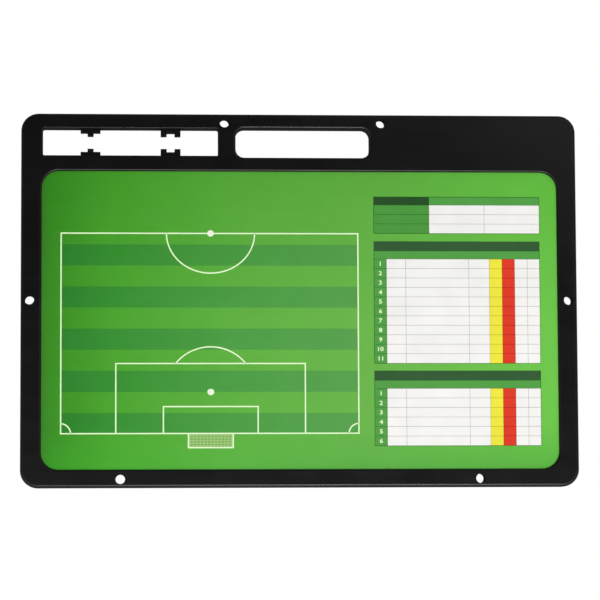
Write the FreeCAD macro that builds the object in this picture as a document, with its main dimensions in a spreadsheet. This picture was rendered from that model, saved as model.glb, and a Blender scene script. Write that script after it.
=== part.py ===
import FreeCAD, Part
import math
import os
import Sketcher

# A hand-held coach's tactics board: two moulded half shells closed round a laminated panel.
# Millimetres. +X is the reader's right, +Z is up and the front looks along -Y.
# The origin is midway between the two upper hanging holes, on the plane of the rear face.

# Driving sizes, each written once
SIZES = {
    # Outline of the board
    "board_width": 450.0,
    "board_height": 302.0,
    "corner_radius": 14.0,
    # Moulded shells
    "wall": 2.2,
    "skin": 2.2,
    "rib_thickness": 1.2,
    "rib_count": 3,
    "edge_round": 2.5,
    "parting_bevel": 0.3,
    # Window, and how the shells trap the panel
    "window_radius": 14.0,
    "lip_round": 1.5,
    "panel_overlap": 2.2,
    "panel_gap": 0.3,
    "left_extra": 2.1,
    "right_extra": 1.5,
    # Layers of the panel, from either face to the middle
    "film_thickness": 0.2,
    "print_thickness": 0.3,
    "steel_thickness": 0.3,
    "core_thickness": 9.0,
    # Six holes through the rim
    "hole_radius": 3.8,
    "hole_edge": 7.0,
    "sleeve_wall": 1.2,
    "hole_to_handle": 9.0,
    "lower_hole_spacing": 290.0,
    # Handle opening, and how far right of the board's middle the upper holes and openings stand
    "header_shift": 2.4,
    "handle_width": 109.0,
    "handle_height": 23.7,
    "handle_drop": 11.6,
    "handle_radius": 7.0,
    "handle_round": 1.8,
    "header_bar": 11.3,
    # Pen slot, with two pairs of clip tabs
    "bridge_width": 14.0,
    "slot_inset": 0.6,
    "slot_height": 22.2,
    "slot_drop": 11.8,
    "slot_radius": 1.5,
    "slot_round": 0.8,
    "tab_inset": 38.5,
    "tab_width": 16.0,
    "tab_reach": 3.2,
    "tab_depth": 4.0,
    "nub_width": 4.8,
    "nub_reach": 2.6,
    # Screws that close the shells from behind
    "screw_inset": 10.0,
    "screw_radius": 1.2,
    "screw_bite": 4.6,
    "screw_play": 0.1,
    "head_radius": 2.4,
    "head_height": 1.6,
    "head_sink": 2.4,
    "head_play": 0.25,
    "cross_width": 0.7,
    "cross_span": 2.6,
    "cross_depth": 0.9,
    "boss_wall": 1.2,
}

# Places and sizes that follow from the driving ones
LAYOUT = {
    "recess_depth": "=Sizes.skin",
    "stack_half": "=Sizes.film_thickness + Sizes.print_thickness + Sizes.steel_thickness"
                  " + Sizes.core_thickness / 2",
    "half_depth": "=recess_depth + stack_half",
    "board_right": "=Sizes.board_width / 2 - Sizes.header_shift",
    "board_left": "=board_right - Sizes.board_width",
    "board_top": "=Sizes.hole_edge",
    "board_bottom": "=Sizes.hole_edge - Sizes.board_height",
    "rim": "=Sizes.hole_edge + Sizes.hole_radius + Sizes.sleeve_wall + Sizes.panel_gap"
           " + Sizes.panel_overlap",
    "header": "=max(Sizes.slot_drop + Sizes.slot_height; Sizes.handle_drop + Sizes.handle_height)"
              " + Sizes.header_bar",
    "window_right": "=board_right - rim - Sizes.right_extra",
    "window_left": "=board_left + rim + Sizes.left_extra",
    "window_top": "=board_top - header",
    "window_bottom": "=board_bottom + rim",
    "panel_right": "=window_right + Sizes.panel_overlap",
    "panel_left": "=window_left - Sizes.panel_overlap",
    "panel_top": "=window_top + Sizes.panel_overlap",
    "panel_bottom": "=window_bottom - Sizes.panel_overlap",
    "panel_radius": "=Sizes.window_radius + Sizes.panel_overlap",
    "handle_right": "=Sizes.handle_width / 2",
    "handle_top": "=board_top - Sizes.handle_drop",
    "handle_bottom": "=handle_top - Sizes.handle_height",
    "slot_left": "=window_left + Sizes.slot_inset",
    "slot_right": "=-handle_right - Sizes.bridge_width",
    "slot_top": "=board_top - Sizes.slot_drop",
    "slot_bottom": "=slot_top - Sizes.slot_height",
    "upper_hole_x": "=handle_right + Sizes.hole_to_handle",
    "lower_hole_right": "=Sizes.lower_hole_spacing / 2 - Sizes.header_shift",
    "lower_hole_left": "=lower_hole_right - Sizes.lower_hole_spacing",
    "lower_hole_z": "=board_bottom + Sizes.hole_edge",
    "side_hole_right": "=board_right - Sizes.hole_edge",
    "side_hole_left": "=board_left + Sizes.hole_edge",
    "side_hole_z": "=(board_top + board_bottom) / 2",
    "boss_radius": "=Sizes.head_radius + Sizes.head_play + Sizes.boss_wall",
    "right_boss_x": "=board_right - Sizes.screw_inset",
    "left_boss_x": "=board_left + Sizes.screw_inset",
    "upper_boss_z": "=board_top - Sizes.screw_inset",
    "lower_boss_z": "=board_bottom + Sizes.screw_inset",
    "middle_boss_right": "=Sizes.lower_hole_spacing / 4 - Sizes.header_shift",
    "middle_boss_left": "=middle_boss_right - Sizes.lower_hole_spacing / 2",
    "bridge_boss_x": "=handle_right + Sizes.bridge_width / 2",
    "bridge_boss_z": "=(slot_top + slot_bottom) / 2",
}

# Pieces of the panel, each with the depth of its front face behind the front of the board
PANEL_LAYERS = [
    ("front_clear_film", "film_thickness"),
    ("front_print_sheet", "print_thickness"),
    ("front_steel_sheet", "steel_thickness"),
    ("core_board", "core_thickness"),
    ("rear_steel_sheet", "steel_thickness"),
    ("rear_print_sheet", "print_thickness"),
    ("rear_clear_film", "film_thickness"),
]

HOLES = [
    ("Layout.upper_hole_x", "0"),
    ("-Layout.upper_hole_x", "0"),
    ("Layout.side_hole_right", "Layout.side_hole_z"),
    ("Layout.side_hole_left", "Layout.side_hole_z"),
    ("Layout.lower_hole_right", "Layout.lower_hole_z"),
    ("Layout.lower_hole_left", "Layout.lower_hole_z"),
]

SCREWS = [
    ("Layout.right_boss_x", "Layout.upper_boss_z"),
    ("Layout.left_boss_x", "Layout.upper_boss_z"),
    ("Layout.right_boss_x", "Layout.lower_boss_z"),
    ("Layout.left_boss_x", "Layout.lower_boss_z"),
    ("Layout.middle_boss_right", "Layout.lower_hole_z"),
    ("Layout.middle_boss_left", "Layout.lower_hole_z"),
    ("Layout.bridge_boss_x", "Layout.bridge_boss_z"),
    ("-Layout.bridge_boss_x", "Layout.bridge_boss_z"),
]

PLANE_TOLERANCE = 1e-4

doc = FreeCAD.newDocument("tactics_board")


def add_sheet(name, cells):
    """A sheet with one named cell for each entry."""
    sheet = doc.addObject("Spreadsheet::Sheet", name)
    for row, (alias, content) in enumerate(cells.items(), start=1):
        sheet.set(f"A{row}", alias)
        sheet.setAlias(f"B{row}", alias)
        sheet.set(f"B{row}", str(content))
    doc.recompute()
    return sheet


add_sheet("Sizes", SIZES)
layout = add_sheet("Layout", LAYOUT)


def number(expression):
    """The present value of an expression on the sheets."""
    return float(layout.evalExpression(str(expression)))


def add_body(label):
    body = doc.addObject("PartDesign::Body", label)
    body.Label = label
    return body


def origin_plane(body, role):
    return next(plane for plane in body.Origin.OriginFeatures if plane.Role == role)


def add_sketch(body, name, depth=None, role="XZ_Plane"):
    """A sketch that faces the board, level with the outer face or at a depth behind it."""
    sketch = body.newObject("Sketcher::SketchObject", name)
    sketch.AttachmentSupport = (origin_plane(body, role), [""])
    sketch.MapMode = "FlatFace"
    if depth is not None:
        sketch.setExpression("AttachmentOffset.Base.z", f"-({depth})")
    return sketch


def bind(sketch, constraint, expression):
    index = sketch.addConstraint(constraint)
    sketch.setExpression(f"Constraints[{index}]", expression)


def place_point(sketch, geometry, point, across=None, up=None):
    """Tie a point's place, measured from the sketch's origin, to expressions."""
    if across is not None:
        bind(sketch, Sketcher.Constraint("DistanceX", -1, 1, geometry, point, number(across)), across)
    if up is not None:
        bind(sketch, Sketcher.Constraint("DistanceY", -1, 1, geometry, point, number(up)), up)


def draw_rectangle(sketch, left, right, bottom, top):
    """A rectangle with sharp corners."""
    west, east, south, north = (number(edge) for edge in (left, right, bottom, top))
    corners = [(west, south), (east, south), (east, north), (west, north)]
    points = [FreeCAD.Vector(x, z, 0) for x, z in corners]
    lines = [sketch.addGeometry(Part.LineSegment(points[i], points[(i + 1) % 4])) for i in range(4)]
    for i in range(4):
        sketch.addConstraint(Sketcher.Constraint("Coincident", lines[i], 2, lines[(i + 1) % 4], 1))
        sketch.addConstraint(Sketcher.Constraint("Vertical" if i % 2 else "Horizontal", lines[i]))
    place_point(sketch, lines[0], 1, left, bottom)
    place_point(sketch, lines[2], 1, right, top)


def draw_rounded(sketch, left, right, bottom, top, radius):
    """A rectangle whose four corners are quarter circles."""
    west, east, south, north, bend = (number(size) for size in (left, right, bottom, top, radius))
    centres = [
        (east - bend, south + bend),
        (east - bend, north - bend),
        (west + bend, north - bend),
        (west + bend, south + bend),
    ]
    sides = [
        ((west + bend, south), (east - bend, south)),
        ((east, south + bend), (east, north - bend)),
        ((east - bend, north), (west + bend, north)),
        ((west, north - bend), (west, south + bend)),
    ]
    facing = FreeCAD.Vector(0, 0, 1)
    lines = []
    arcs = []
    for i in range(4):
        start, end = (FreeCAD.Vector(x, z, 0) for x, z in sides[i])
        lines.append(sketch.addGeometry(Part.LineSegment(start, end)))
        circle = Part.Circle(FreeCAD.Vector(*centres[i], 0), facing, bend)
        first = (i - 1) * math.pi / 2
        arcs.append(sketch.addGeometry(Part.ArcOfCircle(circle, first, first + math.pi / 2)))
    for i in range(4):
        sketch.addConstraint(Sketcher.Constraint("Tangent", lines[i], 2, arcs[i], 1))
        sketch.addConstraint(Sketcher.Constraint("Tangent", arcs[i], 2, lines[(i + 1) % 4], 1))
        sketch.addConstraint(Sketcher.Constraint("Vertical" if i % 2 else "Horizontal", lines[i]))
        if i:
            sketch.addConstraint(Sketcher.Constraint("Equal", arcs[0], arcs[i]))
    bind(sketch, Sketcher.Constraint("Radius", arcs[0], bend), radius)
    place_point(sketch, lines[0], 1, up=bottom)
    place_point(sketch, lines[1], 1, across=right)
    place_point(sketch, lines[2], 1, up=top)
    place_point(sketch, lines[3], 1, across=left)


def draw_circles(sketch, places, radius):
    for across, up in places:
        centre = FreeCAD.Vector(number(across), number(up), 0)
        circle = sketch.addGeometry(Part.Circle(centre, FreeCAD.Vector(0, 0, 1), number(radius)))
        bind(sketch, Sketcher.Constraint("Radius", circle, number(radius)), radius)
        place_point(sketch, circle, 3, across, up)


def add_pad(body, sketch, length, towards_front=False):
    """Raise a sketch inwards from the outer face, or from its own depth towards that face."""
    pad = body.newObject("PartDesign::Pad", sketch.Name + "_pad")
    pad.Profile = sketch
    pad.setExpression("Length", length)
    pad.Reversed = not towards_front
    doc.recompute()
    return pad


def add_pocket(body, sketch, length=None, towards_front=False):
    """Cut a sketch inwards from the outer face, or towards that face, and make sure it cut."""
    before = body.Shape.Volume
    pocket = body.newObject("PartDesign::Pocket", sketch.Name + "_pocket")
    pocket.Profile = sketch
    pocket.Reversed = towards_front
    if length is None:
        pocket.Type = "ThroughAll"
    else:
        pocket.setExpression("Length", length)
    doc.recompute()
    if body.Shape.Volume >= before:
        raise RuntimeError(f"{sketch.Name} cut nothing")
    return pocket


def loop_edges(shape, depth, box):
    """Names of the edges of the closed loop at a depth that best fits a box of four expressions."""
    level = number(depth)
    wanted = [number(edge) for edge in box]
    best_loop = None
    best_miss = math.inf
    for face in shape.Faces:
        if abs(face.BoundBox.YMin - level) > PLANE_TOLERANCE or face.BoundBox.YLength > PLANE_TOLERANCE:
            continue
        for loop in face.Wires:
            bounds = loop.BoundBox
            found = (bounds.XMin, bounds.XMax, bounds.ZMin, bounds.ZMax)
            miss = sum(abs(a - b) for a, b in zip(found, wanted))
            if miss < best_miss:
                best_loop, best_miss = loop, miss
    return [
        f"Edge{place}"
        for place, edge in enumerate(shape.Edges, start=1)
        if any(edge.isSame(other) for other in best_loop.Edges)
    ]


def dress_loop(body, kind, size_property, size, depth, box):
    """Round or bevel one closed loop of edges."""
    base = body.Tip
    dressing = body.newObject(f"PartDesign::{kind}", f"{body.Name}_{kind.lower()}")
    dressing.Base = (base, loop_edges(base.Shape, depth, box))
    dressing.setExpression(size_property, size)
    doc.recompute()


def mirrored(side, left, right):
    """The two ends of a span as seen from the side that is being built."""
    return (left, right) if side > 0 else (f"-({right})", f"-({left})")


def seen_box(side, box):
    """A box of four expressions as seen from the side that is being built."""
    left, right, bottom, top = box
    return (*mirrored(side, left, right), bottom, top)


def seen_places(side, places):
    """Places as seen from the side that is being built."""
    return [(across if side > 0 else f"-({across})", up) for across, up in places]


def grown(box, amount):
    """A box of four expressions, larger by an amount all round."""
    left, right, bottom, top = box
    return (f"{left} - {amount}", f"{right} + {amount}", f"{bottom} - {amount}", f"{top} + {amount}")


OUTLINE = ("Layout.board_left", "Layout.board_right", "Layout.board_bottom", "Layout.board_top")
WINDOW = ("Layout.window_left", "Layout.window_right", "Layout.window_bottom", "Layout.window_top")
PANEL = ("Layout.panel_left", "Layout.panel_right", "Layout.panel_bottom", "Layout.panel_top")
HANDLE = ("-Layout.handle_right", "Layout.handle_right", "Layout.handle_bottom", "Layout.handle_top")
SLOT = ("Layout.slot_left", "Layout.slot_right", "Layout.slot_bottom", "Layout.slot_top")


def raise_block(body, name, box, radius, height):
    sketch = add_sketch(body, f"{body.Name}_{name}")
    draw_rounded(sketch, *box, radius)
    add_pad(body, sketch, height)


def cut_window(body, name, box, radius):
    sketch = add_sketch(body, f"{body.Name}_{name}")
    draw_rounded(sketch, *box, radius)
    add_pocket(body, sketch)


def add_hollow_plate(body, side):
    """The outer half shell: a flat skin with a wall round it."""
    outline = seen_box(side, OUTLINE)
    raise_block(body, "outline", outline, "Sizes.corner_radius", "Layout.half_depth")
    cavity = add_sketch(body, f"{body.Name}_cavity", "Layout.half_depth")
    draw_rounded(cavity, *grown(outline, "-Sizes.wall"), "Sizes.corner_radius - Sizes.wall")
    add_pocket(body, cavity, "Layout.half_depth - Sizes.skin", towards_front=True)


def add_inner_walls(body, side):
    """The seat of the panel, the walls round the openings, and the sleeves, bosses and ribs."""
    around_panel = "(Sizes.panel_gap + Sizes.rib_thickness)"
    raise_block(body, "panel_seat", grown(seen_box(side, PANEL), around_panel),
                f"Layout.panel_radius + {around_panel}", "Layout.half_depth")
    raise_block(body, "slot_wall", grown(seen_box(side, SLOT), "Sizes.wall"),
                "Sizes.slot_radius + Sizes.wall", "Layout.half_depth")
    raise_block(body, "handle_wall", grown(seen_box(side, HANDLE), "Sizes.wall"),
                "Sizes.handle_radius + Sizes.wall", "Layout.half_depth")
    sleeves = add_sketch(body, f"{body.Name}_sleeves")
    draw_circles(sleeves, seen_places(side, HOLES), "Sizes.hole_radius + Sizes.sleeve_wall")
    add_pad(body, sleeves, "Layout.half_depth")
    bosses = add_sketch(body, f"{body.Name}_bosses")
    draw_circles(bosses, seen_places(side, SCREWS), "Layout.boss_radius")
    add_pad(body, bosses, "Layout.half_depth")
    add_header_ribs(body, side)


def add_header_ribs(body, side):
    """Upright ribs across the plain end of the header, between the handle and the outer wall."""
    ribs = add_sketch(body, f"{body.Name}_header_ribs")
    first = "(Layout.handle_right + Sizes.bridge_width)"
    count = int(number("Sizes.rib_count"))
    for step in range(1, count + 1):
        middle = f"{first} + (Layout.window_right - {first}) * {step} / (Sizes.rib_count + 1)"
        ends = mirrored(side, f"{middle} - Sizes.rib_thickness / 2", f"{middle} + Sizes.rib_thickness / 2")
        draw_rectangle(ribs, *ends, "Layout.panel_top", "Layout.board_top - Sizes.wall / 2")
    add_pad(body, ribs, "Layout.half_depth")


def cut_openings(body, side):
    """The panel's pocket, the window, the pen slot, the handle and the six holes."""
    pocket = add_sketch(body, f"{body.Name}_panel_pocket", "Layout.half_depth")
    draw_rounded(pocket, *grown(seen_box(side, PANEL), "Sizes.panel_gap"),
                 "Layout.panel_radius + Sizes.panel_gap")
    add_pocket(body, pocket, "Layout.stack_half", towards_front=True)
    cut_window(body, "window", seen_box(side, WINDOW), "Sizes.window_radius")
    cut_window(body, "slot", seen_box(side, SLOT), "Sizes.slot_radius")
    cut_window(body, "handle", seen_box(side, HANDLE), "Sizes.handle_radius")
    holes = add_sketch(body, f"{body.Name}_holes")
    draw_circles(holes, seen_places(side, HOLES), "Sizes.hole_radius")
    add_pocket(body, holes)


def cut_screw_pilots(body, side):
    """Blind holes in the front shell's bosses for the screws to bite in."""
    pilots = add_sketch(body, f"{body.Name}_pilots", "Layout.half_depth")
    draw_circles(pilots, seen_places(side, SCREWS), "Sizes.screw_radius + Sizes.screw_play")
    add_pocket(body, pilots, "Layout.half_depth - Sizes.skin", towards_front=True)


def cut_screw_seats(body, side):
    """Clear holes through the rear shell's bosses, with sunk seats for the heads."""
    seats = add_sketch(body, f"{body.Name}_head_seats")
    draw_circles(seats, seen_places(side, SCREWS), "Sizes.head_radius + Sizes.head_play")
    add_pocket(body, seats, "Sizes.head_sink")
    clear_holes = add_sketch(body, f"{body.Name}_clear_holes")
    draw_circles(clear_holes, seen_places(side, SCREWS), "Sizes.screw_radius + Sizes.head_play")
    add_pocket(body, clear_holes)


def round_edges(body, side):
    """Rounded front edges, and a fine bevel where the two shells meet."""
    for box, radius in (
        (OUTLINE, "Sizes.edge_round"),
        (SLOT, "Sizes.slot_round"),
        (HANDLE, "Sizes.handle_round"),
        (WINDOW, "Sizes.lip_round"),
    ):
        dress_loop(body, "Fillet", "Radius", radius, "0", seen_box(side, box))
    for box in (OUTLINE, SLOT, HANDLE):
        dress_loop(body, "Chamfer", "Size", "Sizes.parting_bevel", "Layout.half_depth", seen_box(side, box))


def add_pen_tabs(body, side):
    """Two facing pairs of tabs: one pair with a nub in the middle, one with a nub at each end."""
    bases = add_sketch(body, f"{body.Name}_tabs", "Layout.half_depth")
    nubs = add_sketch(body, f"{body.Name}_nubs", "Layout.half_depth")
    single = "Layout.slot_left + Sizes.tab_inset"
    double = "Layout.slot_right - Sizes.tab_inset"
    nub_offset = "(Sizes.tab_width - Sizes.nub_width) / 2"
    nub_middles = [single, f"{double} - {nub_offset}", f"{double} + {nub_offset}"]
    sunk = "Sizes.wall / 2"
    base_reach = "Sizes.tab_reach"
    nub_reach = "Sizes.tab_reach + Sizes.nub_reach"
    for sketch, middles, width, reach in (
        (bases, [single, double], "Sizes.tab_width", base_reach),
        (nubs, nub_middles, "Sizes.nub_width", nub_reach),
    ):
        for middle in middles:
            ends = mirrored(side, f"{middle} - {width} / 2", f"{middle} + {width} / 2")
            draw_rectangle(sketch, *ends, f"Layout.slot_top - ({reach})", f"Layout.slot_top + {sunk}")
            draw_rectangle(sketch, *ends, f"Layout.slot_bottom - {sunk}", f"Layout.slot_bottom + {reach}")
        add_pad(body, sketch, "Sizes.tab_depth", towards_front=True)


def add_shell(label, side):
    """One half of the frame, built with its outer face on its own XZ plane."""
    body = add_body(label)
    add_hollow_plate(body, side)
    add_inner_walls(body, side)
    cut_openings(body, side)
    if side > 0:
        cut_screw_pilots(body, side)
    else:
        cut_screw_seats(body, side)
    round_edges(body, side)
    add_pen_tabs(body, side)
    return body


def add_front_frame():
    body = add_shell("front_frame", 1)
    body.setExpression("Placement.Base.y", "-2 * Layout.half_depth")
    return body


def add_rear_frame():
    body = add_shell("rear_frame", -1)
    body.Placement = FreeCAD.Placement(FreeCAD.Vector(), FreeCAD.Rotation(FreeCAD.Vector(0, 0, 1), 180))
    return body


def add_panel_layers():
    """The panel's sheets, each lying on the one before, from the front film to the rear one."""
    layers = []
    depth = "Layout.recess_depth"
    for label, thickness in PANEL_LAYERS:
        body = add_body(label)
        raise_block(body, "outline", PANEL, "Layout.panel_radius", f"Sizes.{thickness}")
        body.setExpression("Placement.Base.y", f"{depth} - 2 * Layout.half_depth")
        depth = f"{depth} + Sizes.{thickness}"
        layers.append(body)
    return layers


def add_screw():
    """One pan-head screw along Y, with the underside of its head on its own XZ plane."""
    body = add_body("one_screw")
    profile = add_sketch(body, "screw_profile", role="XY_Plane")
    reach = "-(Layout.half_depth - Sizes.head_sink + Sizes.screw_bite)"
    outline = [
        ("0", reach),
        ("Sizes.screw_radius / 2", reach),
        ("Sizes.screw_radius", f"{reach} + Sizes.screw_radius"),
        ("Sizes.screw_radius", "0"),
        ("Sizes.head_radius", "0"),
        ("Sizes.head_radius", "Sizes.head_height / 2"),
        ("Sizes.head_radius * 0.7", "Sizes.head_height"),
        ("0", "Sizes.head_height"),
    ]
    points = [FreeCAD.Vector(number(x), number(y), 0) for x, y in outline]
    count = len(points)
    lines = [profile.addGeometry(Part.LineSegment(points[i], points[(i + 1) % count])) for i in range(count)]
    for i in range(count):
        profile.addConstraint(Sketcher.Constraint("Coincident", lines[i], 2, lines[(i + 1) % count], 1))
        place_point(profile, lines[i], 1, *outline[i])
    turned = body.newObject("PartDesign::Revolution", "screw_turned")
    turned.Profile = profile
    turned.ReferenceAxis = (profile, ["V_Axis"])
    turned.Angle = 360
    doc.recompute()
    for name, half_x, half_z in (
        ("cross_flat", "Sizes.cross_span / 2", "Sizes.cross_width / 2"),
        ("cross_upright", "Sizes.cross_width / 2", "Sizes.cross_span / 2"),
    ):
        arm = add_sketch(body, name, "Sizes.head_height")
        draw_rectangle(arm, f"-{half_x}", half_x, f"-{half_z}", half_z)
        add_pocket(body, arm, "Sizes.cross_depth", towards_front=True)
    return body


def add_frame_screws():
    """The screws as one group of separate solids, each with its head seated in the rear shell."""
    screw = add_screw()
    group = doc.addObject("Part::Feature", "frame_screws")
    group.Label = "frame_screws"
    seat = -number("Sizes.head_sink")
    places = [FreeCAD.Vector(number(across), seat, number(up)) for across, up in SCREWS]
    group.Shape = Part.makeCompound([screw.Shape.translated(place) for place in places])
    group.Placement = FreeCAD.Placement()
    return group


def check_document(pieces):
    """Stop if any object failed to build or any piece is empty or invalid."""
    doc.recompute()
    for item in doc.Objects:
        if "Invalid" in item.State or "Error" in item.State:
            raise RuntimeError(f"{item.Label} failed: {item.State}")
    for piece in pieces:
        if piece.Shape.isNull() or not piece.Shape.isValid():
            raise RuntimeError(f"{piece.Label} has no valid shape")


def main():
    pieces = [add_front_frame(), add_rear_frame(), *add_panel_layers(), add_frame_screws()]
    check_document(pieces)
    os.makedirs("parts", exist_ok=True)
    for piece in pieces:
        piece.Shape.exportStep(f"parts/{piece.Label}.step")
        print(f"{piece.Label}: {len(piece.Shape.Solids)} solids, {piece.Shape.Volume / 1000:.2f} cm3")


main()
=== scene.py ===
"""The looks of a hand-held tactics board: a black two-shell frame round a printed dry-wipe panel.

Lengths are millimetres in the part's own frame, unless a name or comment says otherwise:
x to the reader's right, y from the front to the rear, z up. Angles are degrees.
"""

import math

import bmesh
import bpy
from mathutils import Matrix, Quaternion, Vector


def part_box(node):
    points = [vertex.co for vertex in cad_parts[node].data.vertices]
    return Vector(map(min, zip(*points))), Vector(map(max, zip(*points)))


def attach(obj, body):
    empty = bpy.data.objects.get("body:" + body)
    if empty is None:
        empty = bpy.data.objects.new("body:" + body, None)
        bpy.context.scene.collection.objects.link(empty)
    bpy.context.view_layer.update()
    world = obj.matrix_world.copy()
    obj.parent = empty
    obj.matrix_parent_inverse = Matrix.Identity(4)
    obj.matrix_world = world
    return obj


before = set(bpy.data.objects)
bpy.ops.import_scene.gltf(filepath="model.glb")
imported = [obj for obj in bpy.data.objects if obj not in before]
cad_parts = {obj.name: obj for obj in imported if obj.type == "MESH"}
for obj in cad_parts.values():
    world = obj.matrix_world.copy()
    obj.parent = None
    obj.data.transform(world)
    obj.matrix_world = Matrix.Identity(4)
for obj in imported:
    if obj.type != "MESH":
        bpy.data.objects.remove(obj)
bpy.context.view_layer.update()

MM = 0.001
BODY = "root"

# Camera, fitted to the board's outline in a square picture of this many pixels
PICTURE_PIXELS = 600
FOCAL_PIXELS = 2841.5
SENSOR = 36.0
CAMERA_DISTANCE = 2300.0
CAMERA_AZIMUTH = -3.5
CAMERA_ELEVATION = -5.0
CAMERA_ROLL = -0.251
CAMERA_AIM = (-2.37, -7.5, -143.45)

# Floor, which glows a little so that it joins the white background
FLOOR_HEIGHT = -1800.0
FLOOR_SIZE = 60000.0
FLOOR_GREY = 0.6
FLOOR_GLOW = 0.65
FLOOR_ROUGHNESS = 0.9

# Light from all round: its strength in front and behind, and the y of the directions, each of
# length 1, from which it has the whole of its strength behind
FRONT_LIGHT = 0.455
REAR_LIGHT = 1.0
REAR_LIGHT_FROM = 0.3

# Dark hoods that the board's gloss mirrors
HOOD_HALF_WIDTH = 3000.0
HOOD_TOP = 3000.0
HOOD_GAP = 400.0
FRONT_HOOD_END = -6000.0
FRONT_HOOD_BOTTOM = -420.0
FRONT_HOOD_GREY = 0.17
REAR_HOOD_END = 2000.0
REAR_HOOD_BOTTOM = FLOOR_HEIGHT + 1.0
REAR_HOOD_GREY = 0.30

# Lamps
KEY_PLACE = (1150.0, -2200.0, 900.0)
KEY_SIZE = (1500.0, 1100.0)
KEY_WATTS = 8.0
LOW_PLACE = (185.0, -2080.0, -1190.0)
LOW_SIZE = (430.0, 160.0)
LOW_WATTS = 28.0

# Ink layers that lie one over the other inside the clear film, and where ink starts and ends
# in the depth of its layer
INK_LAYERS = 5
INK_FLOOR = 0.2
INK_TOP = 0.9
FIELD_LAYER = 0
STRIPE_LAYER = 1
RULE_LAYER = 1
LINE_LAYER = 2
CELL_LAYER = 2
SPOT_LAYER = 3
NET_LAYER = 3
NUMBER_LAYER = 3

# Shapes that both sides of the panel share; corners closer than SAME_POINT are made one
SHEET_RADIUS = 16.2
FIELD_INSET = 0.5
LINE_WIDTH = 1.08
SPOT_RADII = (2.8, 2.6)
NET_THREAD = 1.3
INK_JOINT = 0.02
SAME_POINT = 0.0001
ARC_STEPS = 48
CORNER_STEPS = 12
SPOT_STEPS = 24

# Half pitch on the front
PITCH_CENTRE = -73.23
PITCH_WIDTH = 239.53
PITCH_LEFT = PITCH_CENTRE - 0.5 * PITCH_WIDTH
PITCH_RIGHT = PITCH_CENTRE + 0.5 * PITCH_WIDTH
MARKS_CENTRE = -72.75
HALFWAY = -90.0
GOAL_LINE = -251.5
BOX_WIDTH = 152.4
BOX_DEPTH = 56.25
GOAL_AREA_WIDTH = 76.1
GOAL_AREA_DEPTH = 21.6
GOAL_WIDTH = 35.95
GOAL_DEPTH = 11.4
CENTRE_ARC = (35.6, 32.2)
PENALTY_SPOT = -218.2
PENALTY_ARC = 36.4
CORNER_ARC = 7.9
NET_COLUMNS = 12
NET_ROWS = 4
STRIPE_TOP = -99.1
STRIPE_DEPTH = 17.0
STRIPE_COUNT = 9

# Tables on the front; each column has the colour and the width of its cells
TABLE_LEFT = 59.6
ROW_HEIGHT = 7.69
TITLE_HEIGHT = 7.6
HEADING_HEIGHT = 6.55
RULE = 0.3
OUTLINE = 0.25
SCORE_TOP = -59.9
SCORE_ROWS = 3
SCORE_COLUMN = 45.0
SCORE_COLUMNS = (("side", SCORE_COLUMN), ("white", SCORE_COLUMN), ("white", SCORE_COLUMN))
LONG_TABLE_TOP = -96.35
LONG_TABLE_ROWS = 11
SHORT_TABLE_TOP = -201.35
SHORT_TABLE_ROWS = 6
NUMBER_COLUMN = 10.1
PLAYER_COLUMNS = (
    ("green", NUMBER_COLUMN),
    ("white", 15.6),
    ("white", 51.4),
    ("white", 16.7),
    ("yellow", 10.4),
    ("red", 10.3),
    ("white", 10.3),
    ("white", 10.0),
)

# Row numbers; the weight is added round a numeral's strokes, for a font size of 1
NUMBER_HEIGHT = 3.5
NUMBER_STRETCH = 1.2
NUMBER_WEIGHT = 0.022
NUMBER_CURVE_STEPS = 3

# Whole pitch on the rear: the real field in metres, boxes and goal as depth and width
FIELD_LENGTH = 105.0
FIELD_WIDTH = 68.0
FIELD_BOX = (16.5, 40.32)
FIELD_GOAL_AREA = (5.5, 18.32)
FIELD_GOAL = (2.6, 7.32)
FIELD_CIRCLE = 9.15
FIELD_SPOT = 11.0
FIELD_CORNER = 2.0

# The same pitch as it is printed, with so many millimetres for each metre
FIELD_SCALE = 3.0
REAR_MIDDLE = -160.05
REAR_END = 0.5 * FIELD_LENGTH * FIELD_SCALE
REAR_HALF_WIDTH = 0.5 * FIELD_WIDTH * FIELD_SCALE
REAR_CIRCLE = FIELD_CIRCLE * FIELD_SCALE
REAR_SPOT = REAR_END - FIELD_SPOT * FIELD_SCALE
REAR_CORNER = FIELD_CORNER * FIELD_SCALE
REAR_BANDS = 20
REAR_NET_COLUMNS = 2
REAR_NET_ROWS = 7


def colour(red, green, blue):
    """A colour written as it shows on a screen, 0 to 255, as a shader's linear values."""
    def linear(value):
        share = value / 255.0
        if share <= 0.04045:
            return share / 12.92
        return ((share + 0.055) / 1.055) ** 2.4
    return (linear(red), linear(green), linear(blue), 1.0)


# Inks, as they show in even light
WHITE_LINE = colour(230, 255, 206)
WHITE_SPOT = colour(236, 245, 220)
NET_LINE = colour(161, 197, 122)
WHITE_CELL = colour(243, 242, 239)
WHITE_RULE = colour(152, 151, 147)
HEADING_GREEN = colour(83, 159, 71)
HEADING_RULE = colour(30, 86, 30)
TITLE_GREEN = colour(52, 91, 53)
CORNER_GREEN = colour(40, 79, 38)
SIDE_GREEN = colour(76, 152, 64)
CARD_YELLOW = colour(238, 230, 66)
CARD_YELLOW_RULE = colour(172, 142, 30)
CARD_RED = colour(223, 59, 40)
CARD_RED_RULE = colour(132, 14, 12)

# Each colour of table cell, with the colour of the rules between such cells
TABLE_SHADES = {
    "white": (WHITE_CELL, WHITE_RULE),
    "green": (HEADING_GREEN, HEADING_RULE),
    "dark": (TITLE_GREEN, TITLE_GREEN),
    "yellow": (CARD_YELLOW, CARD_YELLOW_RULE),
    "red": (CARD_RED, CARD_RED_RULE),
    "corner": (CORNER_GREEN, CORNER_GREEN),
    "side": (SIDE_GREEN, HEADING_RULE),
}

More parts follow.
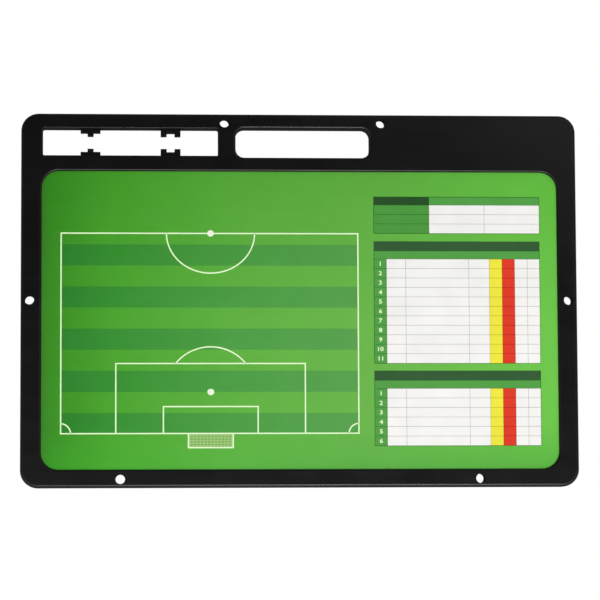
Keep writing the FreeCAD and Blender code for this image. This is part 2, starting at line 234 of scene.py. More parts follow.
# Greens along x, from one edge of a print, 0, to the other, 1, with painted shadow of the frame's lip
# at the first edge
FIELD_GREENS_AND_LIP_SHADE = (
    # Duller green at the edge: painted shadow of the frame's lip
    (0.00, colour(61, 127, 41)),
    (0.025, colour(59, 143, 36)),
    (0.14, colour(76, 164, 47)),
    (0.38, colour(97, 176, 67)),
    (0.65, colour(107, 181, 76)),
    (1.00, colour(110, 198, 75)),
)
STRIPE_GREENS = (
    (0.00, colour(40, 124, 42)),
    (0.14, colour(56, 144, 51)),
    (0.38, colour(78, 157, 70)),
    (0.65, colour(90, 161, 80)),
    (1.00, colour(92, 178, 80)),
)

# Linear colours
WHITE = (1.0, 1.0, 1.0, 1.0)
BLACK = (0.0, 0.0, 0.0, 1.0)
SCREW_EDGE = (0.72, 0.72, 0.72, 1.0)

# Painted shade over the greens from a print's foot, 0, to its top, 1, darker towards the top, and
# how much lighter or darker the foot is painted at the two ends of x
FOOT_SHARE = 0.15
FIELD_PAINTED_SHADE = (
    (0.0, (0.82, 1.0, 0.98, 1.0)),
    (FOOT_SHARE, WHITE),
    (0.5, WHITE),
    (1.0, (0.745, 0.87, 0.69, 1.0)),
)
# Painted shade along the foot: lighter at low x, darker at high x
FOOT_PAINTED_SHADE = (0.20, -0.25)

# The two linear shades that each plain material is mottled between
SHELL_SHADES = ((0.0010, 0.0010, 0.0011, 1.0), (0.0022, 0.0022, 0.0021, 1.0))
HAZE_SHADES = ((0.55, 0.56, 0.55, 1.0), (0.72, 0.72, 0.70, 1.0))
ZINC_SHADES = ((0.46, 0.47, 0.48, 1.0), (0.60, 0.61, 0.62, 1.0))
FOAM_SHADES = ((0.62, 0.61, 0.58, 1.0), (0.78, 0.77, 0.74, 1.0))
SCREW_SHADES = ((0.34, 0.34, 0.35, 1.0), (0.52, 0.52, 0.53, 1.0))

# The range that most of a noise lies in, and how strongly ink is mottled
NOISE_RANGE = (0.3, 0.7)
INK_GRAIN = 0.03
FIELD_GRAIN = 0.02

# Cosines of the turn from a flat at which an edge starts to count and counts in full
WORN_EDGE = (0.98, 0.80)
ROUNDED_EDGE = (0.9999, 0.998)


def metres(place):
    """A place in millimetres as the scene's own units."""
    return Vector(place) * MM


class Nodes:
    """A node tree, with short ways to add and join its nodes."""

    def __init__(self, tree):
        self.tree = tree

    def add(self, kind, **settings):
        """A new node, with its settings made."""
        node = self.tree.nodes.new(kind)
        for name, value in settings.items():
            setattr(node, name, value)
        return node

    def join(self, source, socket):
        self.tree.links.new(source, socket)

    def axis(self, vector, name):
        """One of a vector's three numbers."""
        apart = self.add("ShaderNodeSeparateXYZ")
        self.join(vector, apart.inputs["Vector"])
        return apart.outputs[name]

    def span(self, value, low, high, to_low, to_high):
        """A value's range from low to high, moved to another range."""
        node = self.add("ShaderNodeMapRange")
        node.inputs["From Min"].default_value = low
        node.inputs["From Max"].default_value = high
        node.inputs["To Min"].default_value = to_low
        node.inputs["To Max"].default_value = to_high
        self.join(value, node.inputs["Value"])
        return node.outputs["Result"]

    def calculate(self, operation, *values):
        """An operation on values, each a socket or a plain number."""
        node = self.add("ShaderNodeMath", operation=operation)
        for value, socket in zip(values, node.inputs):
            if isinstance(value, bpy.types.NodeSocket):
                self.join(value, socket)
            else:
                socket.default_value = value
        return node.outputs["Value"]

    def seen_rays(self):
        """1 for rays from the camera, a mirror or a clear surface, and 0 for rays that only light."""
        path = self.add("ShaderNodeLightPath").outputs
        mirrored = self.calculate("MAXIMUM", path["Is Camera Ray"], path["Is Glossy Ray"])
        return self.calculate("MAXIMUM", mirrored, path["Is Transmission Ray"])


class Shader(Nodes):
    """A material with its Principled shader."""

    def __init__(self, name):
        self.material = bpy.data.materials.new(name)
        self.material.use_nodes = True
        super().__init__(self.material.node_tree)
        self.surface = self.tree.nodes["Principled BSDF"]

    def set(self, **values):
        """Plain values on the shader's own sockets, with the sockets' names in small letters."""
        names = {key.lower().replace(" ", "_"): key for key in self.surface.inputs.keys()}
        for name, value in values.items():
            self.surface.inputs[names[name]].default_value = value

    def feed(self, name, source):
        """Joins a source to one of the shader's own sockets."""
        self.join(source, self.surface.inputs[name])

    def place(self):
        return self.add("ShaderNodeTexCoord").outputs["Object"]

    def normal(self):
        return self.add("ShaderNodeNewGeometry").outputs["Normal"]

    def noise(self, scale, detail, stretch=(1.0, 1.0, 1.0)):
        """Noise from 0 to 1 whose grain is about 1/scale metres."""
        mapping = self.add("ShaderNodeMapping")
        mapping.inputs["Scale"].default_value = stretch
        self.join(self.place(), mapping.inputs["Vector"])
        texture = self.add("ShaderNodeTexNoise")
        texture.inputs["Scale"].default_value = scale
        texture.inputs["Detail"].default_value = detail
        self.join(mapping.outputs["Vector"], texture.inputs["Vector"])
        return texture.outputs["Fac"]

    def vary(self, noise, low, high):
        """A noise, moved so that most of it lies between two numbers."""
        return self.span(noise, *NOISE_RANGE, low, high)

    def mottle(self, noise, shades):
        """A colour that wanders between two shades with a noise."""
        return self.ramp(noise, tuple(zip(NOISE_RANGE, shades)))

    def ramp(self, value, stops):
        """A colour that passes from stop to stop as a value goes from 0 to 1."""
        node = self.add("ShaderNodeValToRGB")
        elements = node.color_ramp.elements
        while len(elements) < len(stops):
            elements.new(0.5)
        for element, (position, shade) in zip(elements, stops):
            element.position = position
            element.color = shade
        self.join(value, node.inputs["Fac"])
        return node.outputs["Color"]

    def mix(self, share, first, second, blend="MIX"):
        """A mix of two colours, each a socket or a plain colour."""
        node = self.add("ShaderNodeMix", data_type="RGBA", blend_type=blend)
        # The node's sockets for numbers and vectors come before those for colours
        sockets = (node.inputs[0], node.inputs[6], node.inputs[7])
        for value, socket in zip((share, first, second), sockets):
            if isinstance(value, bpy.types.NodeSocket):
                self.join(value, socket)
            else:
                socket.default_value = value
        return node.outputs[2]

    def product(self, first, second):
        """One colour times another."""
        return self.mix(1.0, first, second, "MULTIPLY")

    def grey(self, value):
        """A number as a grey of that strength."""
        node = self.add("ShaderNodeCombineColor")
        for socket in node.inputs:
            self.join(value, socket)
        return node.outputs["Color"]

    def bump(self, height, depth):
        """Small relief, so many millimetres deep."""
        node = self.add("ShaderNodeBump")
        node.inputs["Strength"].default_value = 1.0
        node.inputs["Distance"].default_value = depth * MM
        self.join(height, node.inputs["Height"])
        self.feed("Normal", node.outputs["Normal"])

    def worn_edges(self, radius):
        """1 on sharp edges and 0 on the flats, from how far a rounded normal leaves the face's own."""
        rounded = self.add("ShaderNodeBevel", samples=4)
        rounded.inputs["Radius"].default_value = radius * MM
        dot = self.add("ShaderNodeVectorMath", operation="DOT_PRODUCT")
        self.join(rounded.outputs["Normal"], dot.inputs[0])
        self.join(self.normal(), dot.inputs[1])
        return self.span(dot.outputs["Value"], *WORN_EDGE, 0.0, 1.0)

    def turned_faces(self, most):
        """0 on faces that look straight to the front or rear, and most on rounded edges and walls."""
        along = self.calculate("ABSOLUTE", self.axis(self.normal(), "Y"))
        return self.span(along, *ROUNDED_EDGE, 0.0, most)


def black_shell():
    """Satin black moulded plastic: a fine spark texture, faint handling marks, edges a little less
    glossy than the flats, and matt when seen along the face."""
    shader = Shader("black_shell")
    blotches = shader.noise(scale=22.0, detail=4.0)
    shader.feed("Base Color", shader.mottle(blotches, SHELL_SHADES))
    handling = shader.noise(scale=35.0, detail=5.0, stretch=(1.0, 1.0, 2.5))
    marks = shader.vary(handling, low=0.20, high=0.26)
    facing = shader.add("ShaderNodeLayerWeight").outputs["Facing"]
    matt = shader.span(facing, low=0.5, high=0.85, to_low=0.0, to_high=0.7)
    flats = shader.calculate("ADD", marks, matt)
    shader.feed("Roughness", shader.calculate("ADD", flats, shader.turned_faces(most=0.09)))
    shader.bump(shader.noise(scale=2200.0, detail=3.0), depth=0.002)
    shader.set(specular_ior_level=0.25)
    return shader.material


def printed(shader, base, grain):
    """Ink under gloss film: faint mottling of its colour, wiping marks in its gloss and a slight
    orange peel."""
    coarse = shader.vary(shader.noise(scale=45.0, detail=3.0), 1.0 - grain, 1.0 + grain)
    half = 0.5 * grain
    fine = shader.vary(shader.noise(scale=2600.0, detail=1.0), 1.0 - half, 1.0 + half)
    share = shader.grey(shader.calculate("MULTIPLY", coarse, fine))
    shader.feed("Base Color", shader.product(base, share))
    wiped = shader.noise(scale=18.0, detail=4.0, stretch=(1.0, 1.0, 4.0))
    shader.feed("Roughness", shader.vary(wiped, low=0.22, high=0.34))
    shader.bump(shader.noise(scale=700.0, detail=2.0), depth=0.003)
    shader.set(specular_ior_level=0.05)
    return shader.material


def plain_ink(name, shade):
    """Ink of one colour."""
    return printed(Shader(name), shade, INK_GRAIN)


def pitch_green(name, greens, node):
    """Green that lightens along x, with painted shade that deepens it towards the top and makes its
    foot lighter at low x and darker at high x.
    """
    shader = Shader(name)
    low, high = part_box(node)
    place = shader.place()
    across = shader.span(shader.axis(place, "X"), low.x, high.x, 0.0, 1.0)
    up = shader.span(shader.axis(place, "Z"), low.z, high.z, 0.0, 1.0)
    # Painted shade: darker towards the top
    green = shader.product(shader.ramp(across, greens), shader.ramp(up, FIELD_PAINTED_SHADE))
    # Painted shade along the foot: lighter at low x, darker at high x
    near_foot = shader.span(up, FOOT_SHARE, 0.0, 0.0, 1.0)
    change = shader.calculate("MULTIPLY", near_foot, shader.span(across, 0.0, 1.0, *FOOT_PAINTED_SHADE))
    foot = shader.grey(shader.calculate("ADD", change, 1.0))
    return printed(shader, shader.product(green, foot), FIELD_GRAIN)


def clear_film():
    """Clear wipe-clean film with a faint haze of old wiping."""
    shader = Shader("clear_film")
    haze = shader.noise(scale=26.0, detail=5.0, stretch=(1.0, 1.0, 3.5))
    shader.feed("Alpha", shader.span(haze, low=0.35, high=0.75, to_low=0.001, to_high=0.006))
    shader.feed("Roughness", shader.vary(haze, low=0.08, high=0.2))
    shader.feed("Base Color", shader.mottle(haze, HAZE_SHADES))
    shader.bump(shader.noise(scale=500.0, detail=2.0), depth=0.002)
    return shader.material


def zinc_sheet():
    """Zinc-coated steel sheet with its rolled grain."""
    shader = Shader("steel_sheet")
    grain = shader.noise(scale=320.0, detail=4.0, stretch=(0.05, 1.0, 1.0))
    shader.feed("Base Color", shader.mottle(grain, ZINC_SHADES))
    shader.feed("Roughness", shader.vary(grain, low=0.28, high=0.45))
    shader.bump(grain, depth=0.004)
    shader.set(metallic=1.0)
    return shader.material


def foamed_board():
    """Pale foamed plastic with small closed cells."""
    shader = Shader("core_board")
    cells = shader.noise(scale=1400.0, detail=3.0)
    shader.feed("Base Color", shader.mottle(cells, FOAM_SHADES))
    shader.feed("Roughness", shader.vary(cells, low=0.6, high=0.8))
    shader.bump(cells, depth=0.08)
    return shader.material


def screw_steel():
    """Zinc-plated screw: bright metal, a little uneven, worn on its sharp edges."""
    shader = Shader("screw_steel")
    plating = shader.noise(scale=900.0, detail=4.0)
    base = shader.mottle(plating, SCREW_SHADES)
    shader.feed("Base Color", shader.mix(shader.worn_edges(radius=0.15), base, SCREW_EDGE))
    shader.feed("Roughness", shader.vary(plating, low=0.24, high=0.42))
    shader.bump(plating, depth=0.006)
    shader.set(metallic=1.0)
    return shader.material


class Side:
    """One printed side of the panel: turns a place, across from the print's middle as its reader
    sees it and up in the frame, into the frame's metres."""

    def __init__(self, name):
        self.name = name
        self.print_node = name + "_print_sheet"
        print_low, print_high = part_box(self.print_node)
        self.middle = 0.5 * (print_low.x + print_high.x)
        film_low, film_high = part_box(name + "_clear_film")
        if name == "front":
            self.sign = 1.0
            self.face = print_low.y
            outer = film_low.y
        else:
            self.sign = -1.0
            self.face = print_high.y
            outer = film_high.y
        self.layer_step = (outer - self.face) / INK_LAYERS

    def point(self, across, up, level):
        """The point at a level counted in ink layers from the print sheet's face."""
        x = self.middle + self.sign * across * MM
        y = self.face + level * self.layer_step
        return Vector((x, y, up * MM))


class Ink:
    """One colour of ink on one side, gathered as thin closed slabs in a single mesh."""

    def __init__(self, side, name, layer):
        self.side = side
        self.name = side.name + "_" + name
        self.low = layer + INK_FLOOR
        self.top = layer + INK_TOP
        self.mesh = bmesh.new()

    def ring(self, places, level):
        """Corners at a row of places, all on one level."""
        return [self.mesh.verts.new(self.side.point(x, z, level)) for x, z in places]

    def skin(self, first, second, closed=True):
        """Four-sided faces between two rows of corners."""
        count = len(first)
        for here in range(count if closed else count - 1):
            after = (here + 1) % count
            self.mesh.faces.new((first[here], first[after], second[after], second[here]))

    def slab(self, outline):
        """A closed slab of any outline."""
        low = self.ring(outline, self.low)
        top = self.ring(outline, self.top)
        self.mesh.faces.new(low)
        self.mesh.faces.new(top)
        self.skin(low, top)

    def rectangle(self, left, bottom, right, top):
        self.slab(oblong(left, bottom, right, top))

    def band(self, path, width=LINE_WIDTH, closed=False):
        """A line of even width along a path, mitred at its corners."""
        one, other = band_edges(path, width, closed)
        rows = [
            self.ring(one, self.low),
            self.ring(other, self.low),
            self.ring(other, self.top),
            self.ring(one, self.top),
        ]
        for row, following in zip(rows, rows[1:] + rows[:1]):
            self.skin(row, following, closed)
        if not closed:
            self.mesh.faces.new([row[0] for row in rows])
            self.mesh.faces.new([row[-1] for row in rows])

    def number(self, text, across, up):
        """A number of NUMBER_HEIGHT, a little widened and centred on a place."""
        letters = bpy.data.curves.new(self.name, "FONT")
        letters.body = text
        letters.offset = NUMBER_WEIGHT
        letters.resolution_u = NUMBER_CURVE_STEPS
        # Any depth does, because the ink's own levels replace it below
        letters.extrude = 0.5
        holder = bpy.data.objects.new(self.name, letters)
        bpy.context.scene.collection.objects.link(holder)
        shape = holder.evaluated_get(bpy.context.evaluated_depsgraph_get()).to_mesh()
        corners = [vertex.co.copy() for vertex in shape.vertices]
        left = min(corner.x for corner in corners)
        right = max(corner.x for corner in corners)
        bottom = min(corner.y for corner in corners)
        top = max(corner.y for corner in corners)
        scale = NUMBER_HEIGHT / (top - bottom)
        points = []
        for corner in corners:
            level = self.top if corner.z > 0 else self.low
            x = across + NUMBER_STRETCH * scale * (corner.x - 0.5 * (left + right))
            z = up + scale * (corner.y - 0.5 * (bottom + top))
            points.append(self.mesh.verts.new(self.side.point(x, z, level)))
        for polygon in shape.polygons:
            self.mesh.faces.new([points[index] for index in polygon.vertices])
        bpy.data.objects.remove(holder)

    def finish(self, material):
        """Closes the mesh, and makes it a piece that rides on the board."""
        bmesh.ops.remove_doubles(self.mesh, verts=self.mesh.verts, dist=SAME_POINT * MM)
        bmesh.ops.recalc_face_normals(self.mesh, faces=self.mesh.faces)
        data = bpy.data.meshes.new(self.name)
        self.mesh.to_mesh(data)
        self.mesh.free()
        data.materials.append(material)
        piece = bpy.data.objects.new(self.name, data)
        bpy.context.scene.collection.objects.link(piece)
        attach(piece, BODY)


def band_edges(path, width, closed):
    """The two edges of a line of even width along a path."""
    points = [Vector(point) for point in path]
    count = len(points)
    one = []
    other = []
    for here, point in enumerate(points):
        before = points[here - 1] if closed or here > 0 else None
        after = points[(here + 1) % count] if closed or here < count - 1 else None
        into = ((point - before) if before is not None else (after - point)).normalized()
        out = (after - point).normalized() if after is not None else into
        normal_in = Vector((-into.y, into.x))
        normal_out = Vector((-out.y, out.x))
        mitre = (normal_in + normal_out).normalized()
        step = mitre * (0.5 * width / mitre.dot(normal_in))
        one.append(tuple(point + step))
        other.append(tuple(point - step))
    return one, other


def oblong(left, bottom, right, top):
    """The four corners of an upright oblong."""
    return ((left, bottom), (right, bottom), (right, top), (left, top))


def arc(centre, radii, start, end, steps=ARC_STEPS):
    """Places along part of an ellipse, with angles from the reader's right."""
    places = []
    for index in range(steps + 1):
        angle = math.radians(start + (end - start) * index / steps)
        across = centre[0] + radii[0] * math.cos(angle)
        up = centre[1] + radii[1] * math.sin(angle)
        places.append((across, up))
    return places


def whole_ellipse(centre, radii, steps):
    """Places round an ellipse, each once."""
    return arc(centre, radii, 0.0, 360.0, steps)[:-1]


def rounded_outline(left, bottom, right, top, radius):
    """Places round an oblong with rounded corners."""
    corners = (
        ((right - radius, top - radius), 0.0),
        ((left + radius, top - radius), 90.0),
        ((left + radius, bottom + radius), 180.0),
        ((right - radius, bottom + radius), 270.0),
    )
    places = []
    for centre, start in corners:
        places += arc(centre, (radius, radius), start, start + 90.0, CORNER_STEPS)
    return places


def open_box(line, middle, width, depth):
    """The path round three sides of a box on a goal line, as places along the line and across it.
    The depth's sign says on which side of the line the box lies."""
    low = middle - 0.5 * width
    high = middle + 0.5 * width
    foot = line + math.copysign(0.5 * LINE_WIDTH, depth)
    end = line + depth
    return ((low, foot), (low, end), (high, end), (high, foot))


def green_field(side):
    """The green ground of the print, out to just inside the sheet's edge."""
    low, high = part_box(side.print_node)
    half = 0.5 * (high.x - low.x) / MM - FIELD_INSET
    bottom = low.z / MM + FIELD_INSET
    top = high.z / MM - FIELD_INSET
    field = Ink(side, "green_ground", FIELD_LAYER)
    field.slab(rounded_outline(-half, bottom, half, top, SHEET_RADIUS - FIELD_INSET))
    field.finish(pitch_green(side.name + "_green", FIELD_GREENS_AND_LIP_SHADE, side.print_node))


def spots(side, places):
    """Round spots, over the lines that they may lie on."""
    ink = Ink(side, "pitch_spots", SPOT_LAYER)
    for place in places:
        ink.slab(whole_ellipse(place, SPOT_RADII, SPOT_STEPS))
    ink.finish(plain_ink("ink_" + side.name + "_spot", WHITE_SPOT))


def net(ink, left, bottom, right, top, columns, rows):
    """A net that fills an oblong: upright threads, and short cross threads between them."""
    across = (right - left - NET_THREAD) / columns
    up = (top - bottom - NET_THREAD) / rows
    for column in range(columns + 1):
        start = left + column * across
        ink.rectangle(start, bottom, start + NET_THREAD, top)
    for column in range(columns):
        start = left + column * across + NET_THREAD + INK_JOINT
        end = left + (column + 1) * across - INK_JOINT
        for row in range(rows + 1):
            ink.rectangle(start, bottom + row * up, end, bottom + row * up + NET_THREAD)


def front_stripes(side):
    """Mown stripes across the half pitch, every other one dark."""
    stripes = Ink(side, "mown_stripes", STRIPE_LAYER)
    for index in range(0, STRIPE_COUNT, 2):
        top = STRIPE_TOP - index * STRIPE_DEPTH
        bottom = max(top - STRIPE_DEPTH, GOAL_LINE)
        stripes.rectangle(PITCH_LEFT, bottom, PITCH_RIGHT, top)
    stripes.finish(pitch_green("front_dark_green", STRIPE_GREENS, side.print_node))


def front_lines(side):
    """The half pitch's markings and its goal, which lies below the goal line."""
    lines = Ink(side, "pitch_lines", LINE_LAYER)
    lines.band(oblong(PITCH_LEFT, GOAL_LINE, PITCH_RIGHT, HALFWAY), closed=True)
    lines.band(open_box(GOAL_LINE, MARKS_CENTRE, BOX_WIDTH, BOX_DEPTH))
    lines.band(open_box(GOAL_LINE, MARKS_CENTRE, GOAL_AREA_WIDTH, GOAL_AREA_DEPTH))
    lines.band(open_box(GOAL_LINE, MARKS_CENTRE, GOAL_WIDTH, -GOAL_DEPTH))
    lines.band(arc((MARKS_CENTRE, HALFWAY), CENTRE_ARC, 180.0, 360.0))
    rise = math.degrees(math.asin((GOAL_LINE + BOX_DEPTH - PENALTY_SPOT) / PENALTY_ARC))
    spot = (MARKS_CENTRE, PENALTY_SPOT)
    lines.band(arc(spot, (PENALTY_ARC, PENALTY_ARC), rise, 180.0 - rise))
    for across, start in ((PITCH_LEFT, 0.0), (PITCH_RIGHT, 90.0)):
        corner = (across, GOAL_LINE)
        lines.band(arc(corner, (CORNER_ARC, CORNER_ARC), start, start + 90.0, CORNER_STEPS))
    lines.finish(plain_ink("ink_front_line", WHITE_LINE))


def front_net(side):
    """The net inside the front's goal."""
    threads = Ink(side, "goal_net", NET_LAYER)
    inset = 0.5 * LINE_WIDTH + INK_JOINT
    half = 0.5 * GOAL_WIDTH - inset
    bottom = GOAL_LINE - GOAL_DEPTH + inset
    top = GOAL_LINE - inset
    net(threads, MARKS_CENTRE - half, bottom, MARKS_CENTRE + half, top, NET_COLUMNS, NET_ROWS)
    threads.finish(plain_ink("ink_front_net", NET_LINE))


class TableInks:
    """The inks that the tables share: one for each colour of cell, one for the rules that show
    between such cells, one for the line round each table and one for the numbers."""

    def __init__(self, side):
        self.cells = {}
        self.rules = {}
        for name in TABLE_SHADES:
            self.cells[name] = Ink(side, name + "_cells", CELL_LAYER)
            self.rules[name] = Ink(side, name + "_rules", RULE_LAYER)
        self.outlines = Ink(side, "table_outlines", RULE_LAYER)
        self.numbers = Ink(side, "row_numbers", NUMBER_LAYER)

    def outline(self, left, top, width, height):
        """A dark line just outside a table's edges."""
        out = INK_JOINT + 0.5 * OUTLINE
        path = oblong(left - out, top - height - out, left + width + out, top + out)
        self.outlines.band(path, OUTLINE, closed=True)

    def block(self, name, left, top, width, height, rows=1):
        """A column of cells in one colour, with its rules under their edges."""
        right = left + width
        self.rules[name].rectangle(left, top - height * rows, right, top)
        half = 0.5 * RULE
        for row in range(rows):
            high = top - row * height
            low = high - height
            self.cells[name].rectangle(left + half, low + half, right - half, high - half)

    def rows(self, columns, top, count):
        """Rows of cells under a table's headings, column by column."""
        left = TABLE_LEFT
        for name, width in columns:
            self.block(name, left, top, width, ROW_HEIGHT, count)
            left += width

    def finish(self):
        for name, (cell, rule) in TABLE_SHADES.items():
            self.rules[name].finish(plain_ink("ink_" + name + "_rule", rule))
            self.cells[name].finish(plain_ink("ink_" + name, cell))
        self.outlines.finish(plain_ink("ink_outline", HEADING_RULE))
        self.numbers.finish(plain_ink("ink_number", WHITE_LINE))


def table_width(columns):
    return sum(width for name, width in columns)


def score_table(inks):
    """A dark corner, a green heading bar and side column, and white cells."""
    total = table_width(SCORE_COLUMNS)
    inks.outline(TABLE_LEFT, SCORE_TOP, total, HEADING_HEIGHT + SCORE_ROWS * ROW_HEIGHT)
    inks.block("corner", TABLE_LEFT, SCORE_TOP, SCORE_COLUMN, HEADING_HEIGHT)
    bar_left = TABLE_LEFT + SCORE_COLUMN
    inks.block("green", bar_left, SCORE_TOP, total - SCORE_COLUMN, HEADING_HEIGHT)
    inks.rows(SCORE_COLUMNS, SCORE_TOP - HEADING_HEIGHT, SCORE_ROWS)


def player_table(inks, top, rows):
    """A dark title bar, a green heading bar, and rows of cells with their numbers."""
    total = table_width(PLAYER_COLUMNS)
    inks.outline(TABLE_LEFT, top, total, TITLE_HEIGHT + HEADING_HEIGHT + rows * ROW_HEIGHT)
    inks.block("dark", TABLE_LEFT, top, total, TITLE_HEIGHT)
    inks.block("green", TABLE_LEFT, top - TITLE_HEIGHT, total, HEADING_HEIGHT)
    first_row = top - TITLE_HEIGHT - HEADING_HEIGHT
    inks.rows(PLAYER_COLUMNS, first_row, rows)
    across = TABLE_LEFT + 0.5 * NUMBER_COLUMN
    for row in range(rows):
        inks.numbers.number(str(row + 1), across, first_row - (row + 0.5) * ROW_HEIGHT)


def front_tables(side):
    """A score table, and a long and a short table of numbered rows."""
    inks = TableInks(side)
    score_table(inks)
    player_table(inks, LONG_TABLE_TOP, LONG_TABLE_ROWS)
    player_table(inks, SHORT_TABLE_TOP, SHORT_TABLE_ROWS)
    inks.finish()


def rear_stripes(side):
    """Mown bands across the whole pitch, every other one dark."""
    stripes = Ink(side, "mown_stripes", STRIPE_LAYER)
    width = 2.0 * REAR_END / REAR_BANDS
    bottom = REAR_MIDDLE - REAR_HALF_WIDTH
    top = REAR_MIDDLE + REAR_HALF_WIDTH
    for index in range(0, REAR_BANDS, 2):
        left = -REAR_END + index * width
        stripes.rectangle(left, bottom, left + width, top)
    stripes.finish(pitch_green("rear_dark_green", STRIPE_GREENS, side.print_node))


def rear_box(hand, size, way):
    """The path of a box on the goal line at one end, from its real depth and width. It lies to the
    right of the line if way is 1, and to the left if way is -1."""
    depth, width = size
    path = open_box(hand * REAR_END, REAR_MIDDLE, width * FIELD_SCALE, way * depth * FIELD_SCALE)
    return [(across, up) for up, across in path]


def rear_end(lines, hand):
    """The markings at one end of the whole pitch; hand is 1 at the reader's right, -1 at the left."""
    lines.band(rear_box(hand, FIELD_BOX, -hand))
    lines.band(rear_box(hand, FIELD_GOAL_AREA, -hand))
    lines.band(rear_box(hand, FIELD_GOAL, hand))
    box_depth = FIELD_BOX[0]
    swing = math.degrees(math.acos((box_depth - FIELD_SPOT) / FIELD_CIRCLE))
    inwards = 180.0 if hand > 0 else 0.0
    spot = (hand * REAR_SPOT, REAR_MIDDLE)
    lines.band(arc(spot, (REAR_CIRCLE, REAR_CIRCLE), inwards - swing, inwards + swing))
    for rise in (1, -1):
        corner = (hand * REAR_END, REAR_MIDDLE + rise * REAR_HALF_WIDTH)
        start = math.degrees(math.atan2(-rise, -hand)) - 45.0
        lines.band(arc(corner, (REAR_CORNER, REAR_CORNER), start, start + 90.0, CORNER_STEPS))


def rear_lines(side):
    """A whole pitch, drawn to the real field's proportions."""
    lines = Ink(side, "pitch_lines", LINE_LAYER)
    bottom = REAR_MIDDLE - REAR_HALF_WIDTH
    top = REAR_MIDDLE + REAR_HALF_WIDTH
    lines.band(oblong(-REAR_END, bottom, REAR_END, top), closed=True)
    lines.band(((0.0, bottom + 0.5 * LINE_WIDTH), (0.0, top - 0.5 * LINE_WIDTH)))
    circle = whole_ellipse((0.0, REAR_MIDDLE), (REAR_CIRCLE, REAR_CIRCLE), 2 * ARC_STEPS)
    lines.band(circle, closed=True)
    for hand in (1, -1):
        rear_end(lines, hand)
    lines.finish(plain_ink("ink_rear_line", WHITE_LINE))


def rear_nets(side):
    """The nets inside the rear's two goals."""
    threads = Ink(side, "goal_nets", NET_LAYER)
    depth, width = FIELD_GOAL
    inset = 0.5 * LINE_WIDTH + INK_JOINT
    half = 0.5 * width * FIELD_SCALE - inset
    near = REAR_END + inset
    far = REAR_END + depth * FIELD_SCALE - inset
    for left, right in ((near, far), (-far, -near)):
        net(threads, left, REAR_MIDDLE - half, right, REAR_MIDDLE + half,
            REAR_NET_COLUMNS, REAR_NET_ROWS)
    threads.finish(plain_ink("ink_rear_net", NET_LINE))


def dress_nodes():
    """Each carried-over piece of the board gets the finish of its material."""
    shell = black_shell()
    film = clear_film()
    steel = zinc_sheet()
    finishes = {
        "front_frame": shell,
        "rear_frame": shell,
        "front_clear_film": film,
        "rear_clear_film": film,
        "front_print_sheet": pitch_green("front_print", FIELD_GREENS_AND_LIP_SHADE, "front_print_sheet"),
        "rear_print_sheet": pitch_green("rear_print", FIELD_GREENS_AND_LIP_SHADE, "rear_print_sheet"),
        "front_steel_sheet": steel,
        "rear_steel_sheet": steel,
        "core_board": foamed_board(),
        "frame_screws": screw_steel(),
    }
    for name, material in finishes.items():
        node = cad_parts[name]
        node.data.materials.clear()
        node.data.materials.append(material)


def print_front():
    """Half a pitch beside three tables."""
    side = Side("front")
    green_field(side)
    front_stripes(side)
    front_lines(side)
    spots(side, [(MARKS_CENTRE, up) for up in (HALFWAY, PENALTY_SPOT)])
    front_net(side)
    front_tables(side)


def print_rear():
    """A whole pitch."""
    side = Side("rear")
    green_field(side)
    rear_stripes(side)
    rear_lines(side)
    rear_nets(side)
    spots(side, [(across, REAR_MIDDLE) for across in (-REAR_SPOT, 0.0, REAR_SPOT)])


def white_room():
    """A world that is white to look at, and lights the rear more than the front, which has lamps."""
    world = bpy.data.worlds.new("studio")
    world.use_nodes = True
    nodes = Nodes(world.node_tree)
    nodes.tree.nodes.clear()
    light = nodes.add("ShaderNodeBackground")
    seen = nodes.add("ShaderNodeBackground")
    for background in (light, seen):
        background.inputs["Color"].default_value = WHITE
    direction = nodes.add("ShaderNodeTexCoord").outputs["Generated"]
    rearwards = nodes.axis(direction, "Y")
    strength = nodes.span(rearwards, 0.0, REAR_LIGHT_FROM, FRONT_LIGHT, REAR_LIGHT)
    nodes.join(strength, light.inputs["Strength"])
    mix = nodes.add("ShaderNodeMixShader")
    nodes.join(nodes.seen_rays(), mix.inputs["Fac"])
    nodes.join(light.outputs["Background"], mix.inputs[1])
    nodes.join(seen.outputs["Background"], mix.inputs[2])
    output = nodes.add("ShaderNodeOutputWorld")
    nodes.join(mix.outputs["Shader"], output.inputs["Surface"])
    bpy.context.scene.world = world


def staged_sheets(name, places, faces, material):
    """Flat sheets that belong to the room."""
    data = bpy.data.meshes.new(name)
    data.from_pydata([metres(place) for place in places], [], faces)
    data.materials.append(material)
    sheets = bpy.data.objects.new(name, data)
    bpy.context.scene.collection.objects.link(sheets)
    return sheets


def pale_floor():
    """A wide pale floor below the hanging board, bright enough to join the white background."""
    shader = Shader("floor")
    shader.set(
        base_color=(FLOOR_GREY, FLOOR_GREY, FLOOR_GREY, 1.0),
        roughness=FLOOR_ROUGHNESS,
        specular_ior_level=0.0,
        emission_color=WHITE,
    )
    glow = shader.calculate("MULTIPLY", shader.seen_rays(), FLOOR_GLOW)
    shader.feed("Emission Strength", glow)
    half = 0.5 * FLOOR_SIZE
    places = [(x, y, FLOOR_HEIGHT) for x, y in oblong(-half, -half, half, half)]
    staged_sheets("floor", places, [(0, 1, 2, 3)], shader.material)


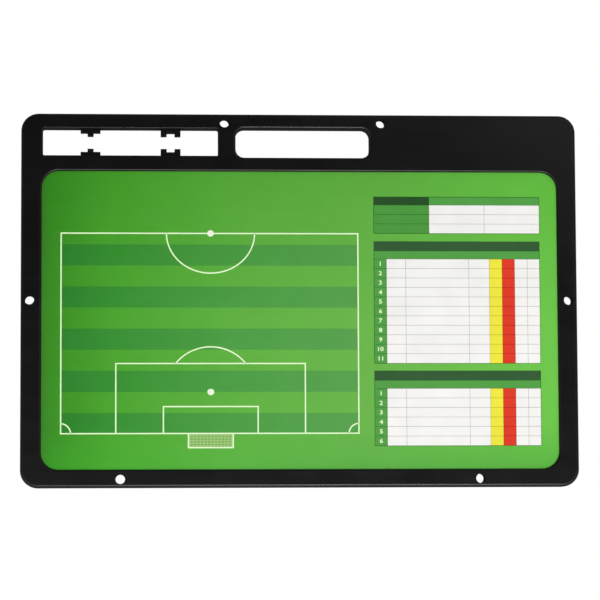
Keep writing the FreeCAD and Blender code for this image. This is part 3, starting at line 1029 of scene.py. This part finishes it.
def dark_hood(name, near, end, bottom, grey, floored=False):
    """A dark box, open towards the board, which shows only in the board's gloss."""
    shader = Shader(name)
    shader.set(
        base_color=BLACK,
        specular_ior_level=0.0,
        emission_color=WHITE,
        emission_strength=grey,
    )
    places = [
        (x, y, z)
        for x in (-HOOD_HALF_WIDTH, HOOD_HALF_WIDTH)
        for y in (end, near)
        for z in (bottom, HOOD_TOP)
    ]
    left = (0, 1, 3, 2)
    right = (4, 5, 7, 6)
    back = (0, 1, 5, 4)
    roof = (1, 3, 7, 5)
    base = (0, 2, 6, 4)
    faces = [left, right, back, roof]
    if floored:
        faces.append(base)
    hood = staged_sheets(name, places, faces, shader.material)
    hood.visible_camera = False
    hood.visible_diffuse = False
    hood.visible_shadow = False


def soft_lamp(name, place, size, watts):
    """A wide lamp that looks at the board's middle."""
    data = bpy.data.lights.new(name, "AREA")
    data.shape = "RECTANGLE"
    data.size = size[0] * MM
    data.size_y = size[1] * MM
    data.energy = watts
    lamp = bpy.data.objects.new(name, data)
    bpy.context.scene.collection.objects.link(lamp)
    lamp.location = metres(place)
    away = metres(place) - metres(CAMERA_AIM)
    lamp.rotation_mode = "QUATERNION"
    lamp.rotation_quaternion = away.to_track_quat("Z", "Y")


def photo_camera():
    """The camera, a little below the board's middle and to its left."""
    data = bpy.data.cameras.new("camera")
    data.sensor_width = SENSOR
    data.lens = FOCAL_PIXELS / PICTURE_PIXELS * SENSOR
    azimuth = math.radians(CAMERA_AZIMUTH)
    elevation = math.radians(CAMERA_ELEVATION)
    back = Vector((
        math.sin(azimuth) * math.cos(elevation),
        -math.cos(azimuth) * math.cos(elevation),
        math.sin(elevation),
    ))
    camera = bpy.data.objects.new("camera", data)
    bpy.context.scene.collection.objects.link(camera)
    camera.location = metres(CAMERA_AIM) + back * CAMERA_DISTANCE * MM
    roll = Quaternion((0.0, 0.0, 1.0), math.radians(CAMERA_ROLL))
    camera.rotation_mode = "QUATERNION"
    camera.rotation_quaternion = back.to_track_quat("Z", "Y") @ roll
    bpy.context.scene.camera = camera


dress_nodes()
print_front()
print_rear()
white_room()
pale_floor()
dark_hood("front_hood", -HOOD_GAP, FRONT_HOOD_END, FRONT_HOOD_BOTTOM, FRONT_HOOD_GREY)
dark_hood("rear_hood", HOOD_GAP, REAR_HOOD_END, REAR_HOOD_BOTTOM, REAR_HOOD_GREY, floored=True)
soft_lamp("key_lamp", KEY_PLACE, KEY_SIZE, KEY_WATTS)
soft_lamp("low_lamp", LOW_PLACE, LOW_SIZE, LOW_WATTS)
photo_camera()

bpy.context.scene.view_settings.view_transform = "Standard"
